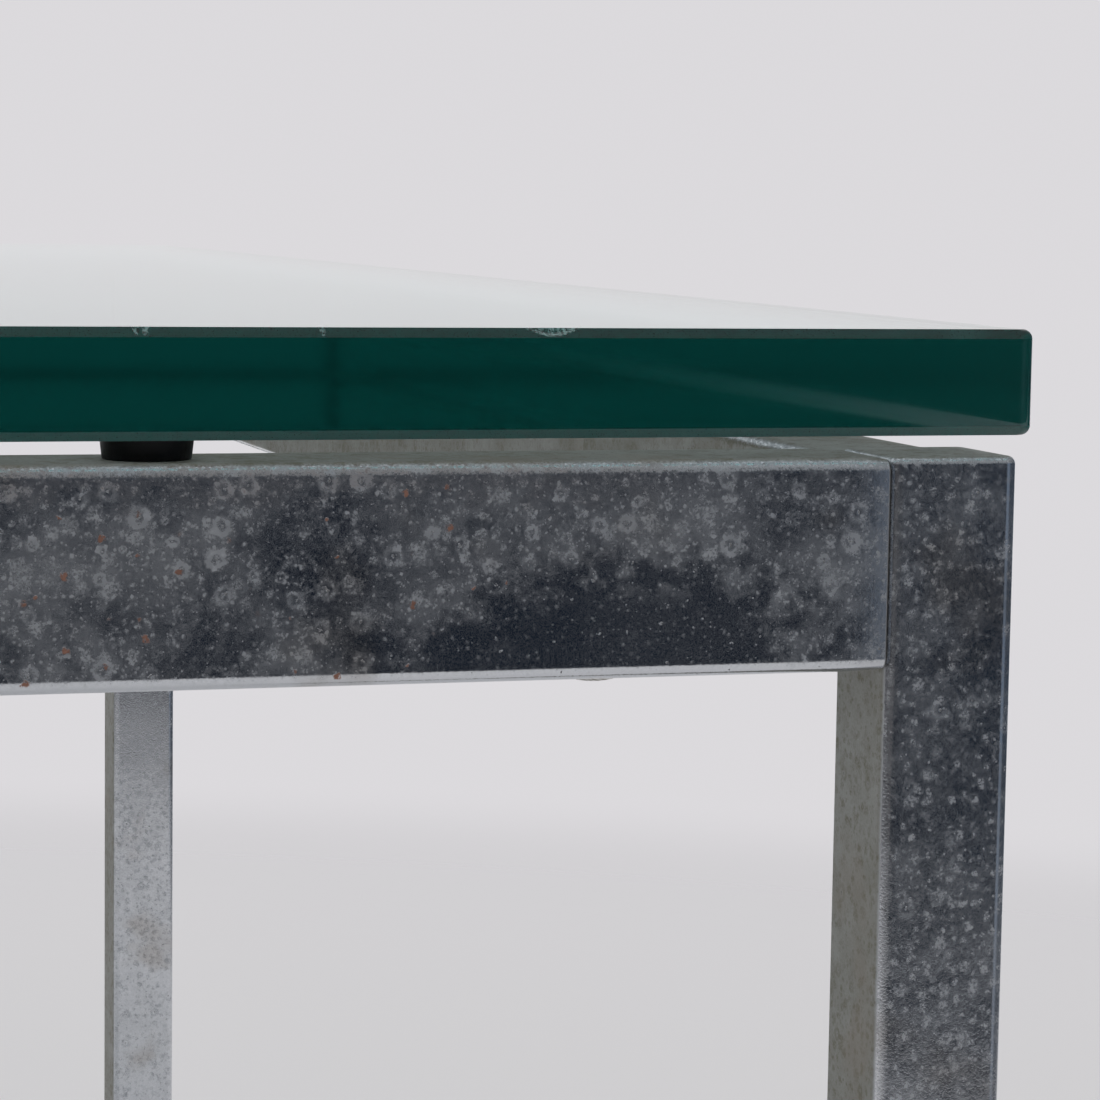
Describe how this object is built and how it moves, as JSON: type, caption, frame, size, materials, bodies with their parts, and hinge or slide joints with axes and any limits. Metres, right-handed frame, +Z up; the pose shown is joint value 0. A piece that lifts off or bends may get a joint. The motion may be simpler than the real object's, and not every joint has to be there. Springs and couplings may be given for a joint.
{
  "type": "glass-topped coffee table",
  "caption": "Low square table: a thick plate-glass top with ground edges resting on rubber bumpers on a screwed frame of plated rectangular steel tube.",
  "frame": {"origin": "on the floor under the middle of the table", "axes": "+Z up, +X along the front rail towards the right, +Y from the front to the back"},
  "size_m": [0.6622, 0.663, 0.4],
  "materials": {
    "glass": "polished green float glass, ground edges",
    "plated_steel": "old bright plating, dulled and pitted",
    "bare_steel": "bare drawn steel",
    "screw_steel": "zinc-plated, dulled",
    "rubber": "matt black rubber",
    "black_plastic": "moulded black polyethylene"
  },
  "bodies": {
    "frame": {"rail_front": "plated_steel", "rail_back": "plated_steel", "rail_left": "plated_steel", "rail_right": "plated_steel", "leg_front_left": "plated_steel", "leg_front_right": "plated_steel", "leg_back_left": "plated_steel", "leg_back_right": "plated_steel", "leg_cap_front_left": "plated_steel", "leg_cap_front_right": "plated_steel", "leg_cap_back_left": "plated_steel", "leg_cap_back_right": "plated_steel", "foot_front_left": "black_plastic", "foot_front_right": "black_plastic", "foot_back_left": "black_plastic", "foot_back_right": "black_plastic", "tenon_front_left": "bare_steel", "tenon_front_right": "bare_steel", "tenon_back_left": "bare_steel", "tenon_back_right": "bare_steel", "tenon_left_front": "bare_steel", "tenon_left_back": "bare_steel", "tenon_right_front": "bare_steel", "tenon_right_back": "bare_steel", "screw_front_left": "screw_steel", "screw_front_right": "screw_steel", "screw_back_left": "screw_steel", "screw_back_right": "screw_steel", "screw_left_front": "screw_steel", "screw_left_back": "screw_steel", "screw_right_front": "screw_steel", "screw_right_back": "screw_steel"},
    "glass": {"glass_top": "glass", "bumper_front_left": "rubber", "bumper_front_right": "rubber", "bumper_back_left": "rubber", "bumper_back_right": "rubber"}
  },
  "joints": [
    {"name": "glass_lift", "type": "slide", "parent": "frame", "child": "glass", "axis": [0, 0, 1], "range_m": [0, 0.12]}
  ]
}
